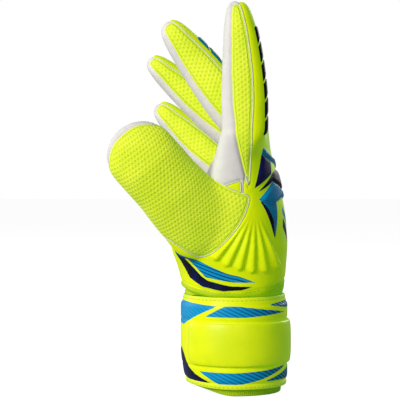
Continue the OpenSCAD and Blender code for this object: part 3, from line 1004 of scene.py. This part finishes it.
def place_studio():
    """A white room: the backdrop is white to the camera, and softer as a light."""
    scene = bpy.context.scene
    scene.view_settings.view_transform = "Standard"
    world = bpy.data.worlds.new("studio")
    world.use_nodes = True
    tree = world.node_tree
    tree.nodes["Background"].inputs[0].default_value = (1, 1, 1, 1)
    tree.nodes["Background"].inputs[1].default_value = ROOM_LIGHT
    white = tree.nodes.new("ShaderNodeBackground")
    white.inputs[0].default_value = (1, 1, 1, 1)
    seen = tree.nodes.new("ShaderNodeLightPath")
    mix = tree.nodes.new("ShaderNodeMixShader")
    tree.links.new(seen.outputs["Is Camera Ray"], mix.inputs[0])
    tree.links.new(tree.nodes["Background"].outputs[0], mix.inputs[1])
    tree.links.new(white.outputs[0], mix.inputs[2])
    tree.links.new(mix.outputs[0], tree.nodes["World Output"].inputs[0])
    scene.world = world
    place_lights()
    floor = new_object("floor", [(-4, -4, 0), (4, -4, 0), (4, 4, 0), (-4, 4, 0)], [[0, 1, 2, 3]])
    floor.data.materials.append(floor_look())


# ---------------- materials
def shade(r, g, b):
    """A colour given as 0 to 255 display values."""
    c = np.array([r, g, b]) / 255
    c = np.where(c <= 0.04045, c / 12.92, ((c + 0.055) / 1.055) ** 2.4)
    return (*c, 1.0)


def dimmed(colour, tone):
    return tuple(c * tone for c in colour[:3]) + (1.0,)


# LIME_SHADE is a painted shade for the rib below the hem
LIME, LIME_DEEP, LIME_SHADE = shade(220, 210, 0), shade(208, 203, 0), shade(134, 140, 0)
MESH_LIME, MESH_DEEP, MESH_HOLE = shade(222, 213, 54), shade(208, 205, 40), shade(156, 164, 10)
NAVY, NAVY_BLUE = shade(3, 6, 20), shade(6, 18, 78)
BLUE, BLUE_DEEP, TEAL = shade(0, 142, 194), shade(0, 78, 138), shade(0, 116, 138)
# the cuff's two knit tones, darkened with painted shade
SHADED_KNIT, SHADED_KNIT_DEEP = shade(170, 177, 0), shade(152, 163, 0)
LATEX, LATEX_DEEP, LATEX_PORE = shade(210, 207, 202), shade(201, 198, 193), shade(186, 183, 178)
PIPING, RUBBER = shade(208, 210, 178), shade(22, 24, 38)
PILE_LOOP, PILE_DEEP = shade(12, 14, 26), shade(40, 44, 62)
# the strength of a painted green glow on the lime cloth; it shines though it is no lamp
PAINTED_GLOW_STRENGTH = 0.2
GREEN_GLOW = (0.10, 1.0, 0.0, 1.0)  # a painted green glow: the same under any light, it makes the lime's shaded parts look greener
HATCH_PITCH = 2.4
DIMPLE_WIDE, DIMPLE_TALL = 2.5, 3.5  # from one dimple of the mesh to the next, in millimetres
KNIT_RIBS = 150  # upright ribs all round the cuff


class Value:
    """A node's output, which adds, subtracts, multiplies and divides as a number does."""

    def __init__(self, look, socket):
        self.look = look
        self.socket = socket

    def __add__(self, other):
        return self.look.math("ADD", self, other)

    def __sub__(self, other):
        return self.look.math("SUBTRACT", self, other)

    def __rsub__(self, other):
        return self.look.math("SUBTRACT", other, self)

    def __mul__(self, other):
        return self.look.math("MULTIPLY", self, other)

    def __truediv__(self, other):
        return self.look.math("DIVIDE", self, other)


class Look:
    """A material built from nodes. Its methods take numbers, colours and values."""

    def __init__(self, name, rough, sheen=0.0, specular=0.4, glow=0.0):
        self.material = bpy.data.materials.new(name)
        self.material.use_nodes = True
        self.tree = self.material.node_tree
        self.shader = self.tree.nodes["Principled BSDF"]
        self.shader.inputs["Roughness"].default_value = rough
        self.shader.inputs["Sheen Weight"].default_value = sheen
        self.shader.inputs["Specular IOR Level"].default_value = specular
        # the painted green glow, the same under any light
        self.shader.inputs["Emission Color"].default_value = GREEN_GLOW
        self.shader.inputs["Emission Strength"].default_value = glow

    def put(self, socket, value):
        if isinstance(value, Value):
            self.tree.links.new(value.socket, socket)
        else:
            socket.default_value = value

    def add(self, kind, inputs, out=0, **settings):
        node = self.tree.nodes.new(kind)
        for key, value in settings.items():
            setattr(node, key, value)
        for key, value in inputs.items():
            self.put(node.inputs[key], value)
        return Value(self, node.outputs[out])

    def math(self, operation, a, b=0.0):
        return self.add("ShaderNodeMath", {0: a, 1: b}, operation=operation)

    def wave(self, value, rate):
        return self.math("SINE", value * rate)

    def step(self, value, low, high):
        """0 below low, 1 above high, and smooth between them."""
        return self.add("ShaderNodeMapRange", {0: value, 1: low, 2: high, 3: 0.0, 4: 1.0},
                        interpolation_type="SMOOTHSTEP")

    def mix(self, share, a, b):
        return self.add("ShaderNodeMix", {0: share, 6: a, 7: b}, out=2, data_type="RGBA")

    def mottle(self, cloud, a, b):
        return self.mix(self.step(cloud, 0.3, 0.7), a, b)

    def attribute(self, name, out="Fac"):
        return self.add("ShaderNodeAttribute", {}, out=out, attribute_name=name)

    def vector(self, name):
        """The three numbers of a piece's attribute."""
        node = self.tree.nodes.new("ShaderNodeSeparateXYZ")
        self.put(node.inputs[0], self.attribute(name, "Vector"))
        return [Value(self, out) for out in node.outputs]

    def noise(self, scale, detail=2.0, rough=0.5):
        """Noise fixed to the resting shape; the scale is in cycles a millimetre."""
        return self.add("ShaderNodeTexNoise", {"Vector": self.attribute("rest", "Vector"), "Scale": scale,
                                               "Detail": detail, "Roughness": rough})

    def colour(self, value, dark=None):
        """Sets the colour; where dark is 1 there is no painted green glow."""
        self.put(self.shader.inputs["Base Color"], value)
        if dark is not None:
            self.put(self.shader.inputs["Emission Color"], self.mix(dark, GREEN_GLOW, (0, 0, 0, 1)))

    def rough(self, value, low, high):
        self.put(self.shader.inputs["Roughness"],
                 self.add("ShaderNodeMapRange", {0: value, 1: 0.0, 2: 1.0, 3: low, 4: high}))

    def bump(self, *layers):
        """Adds bumps; each layer is a height from 0 to 1 and how many metres that is."""
        normal = None
        for height, depth in layers:
            inputs = {"Height": height, "Distance": depth, "Strength": 1.0}
            if normal is not None:
                inputs["Normal"] = normal
            normal = self.add("ShaderNodeBump", inputs)
        self.put(self.shader.inputs["Normal"], normal)

    def printed(self, ground):
        """The ground colour with the blue and navy prints over it; the prints' edges waver a little."""
        hatch = self.math("FRACT", self.attribute("hatch") / HATCH_PITCH)
        line = 1.0 - self.step(self.math("ABSOLUTE", hatch - 0.5), 0.10, 0.24)
        ink = self.attribute("ink")
        tint = self.mix(line * (ink + 0.25), BLUE, BLUE_DEEP)
        tint = self.mix(line * (ink * ink * 1.1), tint, NAVY)
        waver = (self.noise(0.9) - 0.5) * 0.2
        blue = self.step(self.attribute("blue") + waver, -0.12, 0.12)
        navy = self.step(self.attribute("navy") + waver, -0.12, 0.12)
        dark = self.mix(self.step(self.noise(0.07), 0.35, 0.6) * 0.85, NAVY, NAVY_BLUE)
        return self.mix(navy, self.mix(blue, ground, tint), dark), self.math("MAXIMUM", blue, navy)


def shell_look():
    """Smooth coated fabric over soft foam, with its printed shapes, and the rib below the hem darkened with
    a mottled painted shade.
    """
    # the lime shell carries the painted green glow
    look = Look("lime_shell", 0.52, specular=0.13, glow=PAINTED_GLOW_STRENGTH)
    grain = look.noise(2.6)
    ground, ink = look.printed(look.mottle(look.noise(0.05, 3.0), LIME_DEEP, LIME))
    moulding, blue, hem = look.vector("crown")
    # below the hem the colour goes towards LIME_SHADE, a mottled painted shade
    below = look.step(hem, 0.0, 0.5) * (look.noise(1.3, 3.0) * 0.5 + 0.45)
    ground = look.mix(below, ground, LIME_SHADE)
    mask = look.step(moulding, -0.1, 0.12)
    look.colour(look.mix(mask, ground, look.mix(blue, NAVY, TEAL)), look.math("MAXIMUM", ink, mask))
    look.rough(grain, 0.45, 0.62)
    look.bump((look.noise(1.4), 0.00006), (grain, 0.00004))
    return look.material


def mesh_look():
    """Stretch mesh: a knitted ground with staggered rows of small dimples and a plain sewn edge."""
    # the dotted mesh carries the painted green glow
    look = Look("dotted_mesh", 0.62, sheen=0.1, specular=0.2, glow=PAINTED_GLOW_STRENGTH)
    u, v, _ = look.vector("weave")
    column = u / DIMPLE_WIDE
    odd = look.math("MODULO", look.math("FLOOR", column) + 400.0, 2.0)
    across = (look.math("FRACT", column) - 0.5) * DIMPLE_WIDE
    along = (look.math("FRACT", v / DIMPLE_TALL + odd * 0.5) - 0.5) * DIMPLE_TALL
    away = look.math("SQRT", across * across + along * along)
    edge = look.attribute("seam")
    field = look.step(edge, 1.5, 2.4)
    hole = (1.0 - look.step(away, 0.2, 0.75)) * field
    dish = look.math("MAXIMUM", look.step(away, 0.2, 1.3), 1.0 - field)
    knit = look.wave(v, 2 * math.pi / 0.7) * look.wave(u, 2 * math.pi / 0.72) * 0.5 + 0.5
    sewn = 1.0 - look.step(look.math("ABSOLUTE", edge - 1.7), 0.1, 0.6)
    ground = look.mottle(look.noise(0.06, 3.0), MESH_DEEP, MESH_LIME)
    ground = look.mix(knit * 0.12, ground, LIME_DEEP)
    ground = look.mix(sewn * 0.5, ground, MESH_HOLE)
    look.colour(look.mix(hole * 0.45, ground, MESH_HOLE))
    look.rough(knit, 0.55, 0.75)
    look.bump((dish, 0.00035), (knit, 0.00007), (1.0 - sewn, 0.0003))
    return look.material


def latex_look():
    """Soft foam latex: matt, with fine pores and a faint mottle."""
    look = Look("white_latex", 0.78, specular=0.2)
    cloud, pore = look.noise(0.09, 4.0, 0.6), look.noise(1.9, 3.0, 0.7)
    look.colour(look.mix(look.step(pore, 0.62, 0.8), look.mottle(cloud, LATEX_DEEP, LATEX), LATEX_PORE))
    look.rough(pore, 0.7, 0.9)
    look.bump((cloud, 0.0003), (pore, 0.00012))
    return look.material


def strap_look():
    """Printed elastic with a smooth face and raised hatching."""
    # the strap's lime carries the painted green glow
    look = Look("strap_print", 0.42, specular=0.16, glow=PAINTED_GLOW_STRENGTH)
    grain = look.noise(2.2)
    look.colour(*look.printed(LIME))
    look.rough(grain, 0.32, 0.48)
    line = look.wave(look.attribute("hatch"), 2 * math.pi / HATCH_PITCH)
    raised = line * look.step(look.attribute("blue"), 0.0, 0.6)
    look.bump((raised * 0.5 + 0.5, 0.0001), (grain, 0.00004))
    return look.material


def smooth_lime(name, rough, sheen, grain_scale, grain_depth, tone=1.0):
    """Lime cloth or rubber without a print: a faint mottle and a grain of its own scale."""
    # these lime pieces carry the painted green glow
    look = Look(name, rough, sheen=sheen, specular=0.3, glow=PAINTED_GLOW_STRENGTH)
    grain = look.noise(grain_scale)
    look.colour(look.mottle(look.noise(0.06, 3.0), dimmed(LIME_DEEP, tone), dimmed(LIME, tone)))
    look.rough(grain, rough - 0.06, rough + 0.1)
    look.bump((grain, grain_depth))
    return look.material


def knit_look():
    """Ribbed elastic knit: fine upright ribs, in tones darkened with painted shade, with a faint painted
    green glow.
    """
    look = Look("cuff_knit", 0.7, sheen=0.1, specular=0.2, glow=0.1)
    x, y, z = look.vector("rest")
    rib = look.wave(look.math("ARCTAN2", y, x), KNIT_RIBS) * 0.5 + 0.5
    loop = look.wave(z, 5.5) * 0.5 + 0.5
    look.colour(look.mix(rib, SHADED_KNIT_DEEP, SHADED_KNIT))
    look.bump((rib, 0.0002), (loop, 0.00008), (look.noise(2.5), 0.00005))
    return look.material


def pile_look():
    """Hook-and-loop tape: a dark pile of tiny loops."""
    look = Look("pile", 0.9, sheen=0.4, specular=0.1)
    loops = look.add("ShaderNodeTexVoronoi", {"Vector": look.attribute("rest", "Vector"), "Scale": 1.4})
    look.colour(look.mix(look.step(loops, 0.1, 0.7), PILE_DEEP, PILE_LOOP))
    look.bump((loops, 0.0006), (look.noise(3.0), 0.0002))
    return look.material


def plain_look(name, colour, rough, grain):
    look = Look(name, rough, specular=0.35)
    height = look.noise(grain)
    look.colour(look.mottle(height, colour, dimmed(colour, 0.86)))
    look.rough(height, rough - 0.05, rough + 0.08)
    look.bump((height, 0.00008))
    return look.material


def floor_look():
    """The studio's pale floor."""
    look = Look("studio_floor", 0.9, specular=0.0)
    look.shader.inputs["Base Color"].default_value = (0.32, 0.32, 0.32, 1)
    look.shader.inputs["Emission Color"].default_value = (1, 1, 1, 1)
    seen = look.add("ShaderNodeLightPath", {})
    look.put(look.shader.inputs["Emission Strength"], seen * 0.9)
    return look.material


lime_shell, dotted, latex = shell_look(), mesh_look(), latex_look()
piping_white = plain_look("seam_piping", PIPING, 0.6, 2.0)
strap_print = strap_look()
binding_tape = smooth_lime("binding_tape", 0.5, 0.2, 3.0, 0.00008)
lime_thread = smooth_lime("lime_thread", 0.45, 0.1, 4.0, 0.00005, 0.5)
pad_skin = smooth_lime("pad_skin", 0.36, 0.0, 1.6, 0.00003)
cuff_knit, pile = knit_look(), pile_look()
tab_rubber = plain_look("tab_rubber", RUBBER, 0.5, 1.2)
lining_cloth = smooth_lime("lining_cloth", 0.8, 0.3, 2.2, 0.0002, 0.6)

# ---------------- what lies where on the hand
# the hand's printed shapes, the same on both sides: the angle from the back of the hand, and the height
HAND_NAVY = [
    [(178, 112), (167, 106), (152, 96), (141, 83.5), (123, 77.4), (98, 74.4), (84, 75.3), (72, 77.6),
     (92, 78), (115, 82), (122, 85), (138, 96), (149, 103.5), (165, 110)],
    [(42, 170.5), (65, 146.8), (31, 157), (26, 165.5)],
    [(63.5, 143.4), (38, 150), (34, 151.5), (16, 147), (0, 143), (0, 155), (14, 160), (27, 158)],
    [(61, 139.5), (50, 133), (43, 124), (42, 110), (48, 121), (55, 132)],
    [(0, 100), (26, 119), (24, 126), (0, 109)]]
HAND_BLUE = [
    [(143, 106.5), (120.5, 96.2), (94.5, 87.2), (69.5, 80.4), (90, 80.8), (117, 84.4), (131, 94.2)],
    [(36, 175.5), (42, 170.5), (26, 165.5), (12, 163), (0, 158), (0, 167), (20, 170)],
    [(61, 139.3), (34, 151.5), (16, 147), (0, 143), (0, 137), (16, 140), (34, 137), (36, 128), (42, 111),
     (43, 124), (50, 133)],
    [(0, 112), (24, 129), (22, 134), (0, 120)]]
AROUND = 0.65  # millimetres to a degree round the hand
BACK_PRINTS = 105 * MM  # above this height lie the prints of the back, with a fainter hatch
WEAVE_LEAN = math.radians(38)  # how far the thumb leans from upright
CHEVRON_PITCH, CHEVRON_END, CHEVRON_HALF = 13, 74, 6.6  # one to the next, the row's end and half its width


def hand_prints(p):
    """The prints at points on the skin: distances inside each shape in millimetres, and their hatch."""
    around = np.abs(section_angle(p)) * AROUND * MM

    def inside(shapes):
        outlines = [[(a * AROUND, z) for a, z in shape] for shape in shapes]
        return np.max([outline_distance(o, around, p[:, 2]) for o in outlines], axis=0) / MM

    high = p[:, 2] > BACK_PRINTS
    along = np.where(high, (p[:, 2] * 0.98 - around * 0.2) * 1.5, p[:, 2] * 0.93 - around * 0.36)
    return {"blue": inside(HAND_BLUE), "navy": inside(HAND_NAVY), "hatch": along / MM,
            "ink": np.where(high, 0.25, 0.65)}


def thumb_weave(p):
    """Where a point lies on the flat cloth of the thumb's panel, in millimetres, its columns upright."""
    x, y, s = THUMB.local(p)
    y = y + 0.8 * np.tanh(y / (12 * MM)) * (THUMB.depth - np.minimum(x, THUMB.depth))
    c, d = math.cos(WEAVE_LEAN), math.sin(WEAVE_LEAN)
    return np.stack([y * c - s * d, y * d + s * c, 0 * s], 1) / MM


def chevron_depth(y, s):
    """The moulded chevrons down the back of a finger: how far inside one a point lies, in millimetres."""
    slope = (s + 0.7 * np.abs(y)) / MM
    bar = CHEVRON_PITCH / 2 - np.abs(slope % CHEVRON_PITCH - CHEVRON_PITCH / 2) - 0.9
    return least(CHEVRON_HALF - np.abs(y) / MM, bar, s / MM + 2, CHEVRON_END - s / MM)


def crown_values(p):
    """How far inside a chevron a point lies, 1 where chevrons are blue, and how far below the hem it is."""
    values = np.zeros((len(p), 3))
    values[:, 0] = -9
    values[:, 2] = (hem_line(p[:, 0]) - p[:, 2]) / MM
    for i, f in enumerate(FINGERS[:2]):
        x, y, s = f.local(p)
        mine = in_span(i, p) & (x > 4 * MM) & (s > FINGER_START)
        values[mine, 0] = chevron_depth(y, s)[mine]
        values[mine, 1] = i
    return values


def gusset_weave(p):
    """Where a point lies on the flat cloth of its finger's side panel, in millimetres."""
    weave = np.zeros((len(p), 3))
    for i, f in enumerate(FINGERS):
        mine = in_span(i, p)
        x, y, s = f.local(p)
        weave[mine] = (np.stack([x - f.axis_x(s), s, 0 * s], 1) / MM)[mine]
    return weave


def knuckle_height(p, prints):
    """The prints over the knuckles are moulded, and stand proud of the shell."""
    inside = np.maximum(prints["blue"], prints["navy"])
    z = p[:, 2] / MM
    return KNUCKLE_HEIGHT * ease(inside / 2.4) * ease((z - 134) / 6) * ease((179 - z) / 4)


# ---------------- the hand's pieces
PANEL_LOOKS = {"palm": (latex, "white_latex", 1.6), "shell": (lime_shell, "lime_shell", 1.4),
               "gusset": (dotted, "dotted_mesh", 1.2), "thumb_panel": (dotted, "dotted_mesh", 1.4),
               "web_inset": (lime_shell, "lime_shell", 1.2)}
REPLACES = {("hand", "palm"): ["palm_latex", "thumb_root_palm"], ("hand", "shell"): ["backhand_panel"],
            ("hand", "thumb_panel"): ["thumb_side_panel", "thumb_root_back"],
            ("hand", "gusset"): ["index_side_gusset", "little_side_gusset"],
            ("wrist", "shell"): ["wrist_back_panel"], ("wrist", "palm"): ["wrist_palm_panel"]}
for part in ("base", "tip"):
    REPLACES["thumb_" + part, "thumb_panel"] = [f"thumb_{part}_back"]
    REPLACES["thumb_" + part, "palm"] = [f"thumb_{part}_palm"]
    for f in FINGERS:
        zone_name = f"{f.name}_{part}"
        REPLACES[zone_name, "palm"] = [zone_name + "_palm"]
        REPLACES[zone_name, "shell"] = [zone_name + "_back"]
        REPLACES[zone_name, "gusset"] = [zone_name + "_gussets"]
ZONES = ["hand", *ZONE_CUTS]
LINING_TOP = 150 * MM
LINING_GAP = 2.4 * MM  # from the skin's outer face to the lining
LINING_THICK = 0.8 * MM


def build_hand():
    flat, tri, zone, panel = build_panels()
    prints = hand_prints(flat)
    off = np.isin(np.arange(len(flat)), tri[(zone != "hand") & (zone != "wrist")])
    prints["blue"] = np.where(off, -9, prints["blue"])
    prints["navy"] = np.where(off, -9, prints["navy"])
    crown = crown_values(flat)
    raised = knuckle_height(flat, prints) + CHEVRON_HEIGHT * ease(crown[:, 0] / 1.3)
    co, seam = shaped(flat, tri, panel, raised)
    shared = {"rest": flat / MM, "seam": seam / MM, "crown": crown, **prints}
    weaves = {"thumb_panel": thumb_weave(flat), "gusset": gusset_weave(flat)}
    for label, (material, slot, thick) in PANEL_LOOKS.items():
        of_label = panel == label
        no = vertex_normals(co, tri[of_label])
        values = {**shared, "weave": weaves[label]} if label in weaves else shared
        for z in ZONES:
            mine = of_label & (zone == z)
            if mine.any():
                piece = solid_patch(f"{z}_{label}_skin", co, no, tri[mine], thick * MM, values)
                finish_piece(piece, material, zone_motion(z), REPLACES.get((z, label), ()))
    build_piping(co, tri, zone, panel)


def build_piping(co, tri, zone, panel):
    """The thin white cord in the seams between the dotted panels and the shell."""
    no = vertex_normals(co, tri)
    edge, pair = shared_edges(tri)
    left, right = panel[pair[:, 0]], panel[pair[:, 1]]

    def meets_shell(label):
        smooth = ("shell", "web_inset")
        return ((left == label) & np.isin(right, smooth)) | (np.isin(left, smooth) & (right == label))

    round_inset = (left == "web_inset") ^ (right == "web_inset")
    seams = ((meets_shell("gusset"), 0.52 * MM), (meets_shell("thumb_panel") | round_inset, 0.4 * MM))
    for z in ZONES:
        parts = []
        for seam, radius in seams:
            runs = [r for r in chains(edge[seam & (zone[pair[:, 0]] == z)]) if len(r) > 4]
            paths = [resampled(eased_path(co[r] + no[r] * 0.3 * MM), 1.2 * MM) for r in runs]
            parts += [tube(p, radius) for p in paths if len(p) > 3]
        if parts:
            piece = surface(z + "_piping", *joined(parts))
            finish_piece(piece, piping_white, zone_motion(z))


def build_hem():
    """The stitches of the hem, all round the foot of the hand."""
    a = np.linspace(math.radians(-170), math.radians(170), 160)
    z = hem_line(hand_point(a, 75 * MM)[:, 0])
    path = hand_point(a, z, -0.45 * MM)
    verts, faces = stitches([path], 1.9 * MM, 0.3 * MM, 1.0 * MM, lambda p: unit(np.array([p[0], p[1], 0])))
    thread = surface("hem_stitches", verts, faces, smooth=False)
    finish_piece(thread, lime_thread, zone_motion("wrist"))


def build_lining():
    """The soft lining: a thin bag inside the hand, open at the wrist."""
    a = full_turn(96)
    rings = []
    heights = np.append(np.arange(74 * MM, LINING_TOP, 3 * MM), LINING_TOP)
    for outset, column in ((-LINING_GAP, heights[::-1]), (-LINING_GAP - LINING_THICK, heights)):
        for z in column:
            ring = below_fingers(hand_point(a, np.full_like(a, z), outset), 7 * MM)
            closing = ease((z - LINING_TOP + 14 * MM) / (15 * MM))
            rings.append(ring + closing * (ring.mean(0) - ring) * np.array([1, 1, 0]))
    verts, faces = closed_loft(np.array(rings))
    lining = surface("hand_lining", verts, [f[::-1] for f in faces])
    finish_piece(lining, lining_cloth, zone_motion("wrist"), ["backhand_foam"])


build_hand()
build_hem()
build_lining()
build_strap()
place_camera()
place_studio()
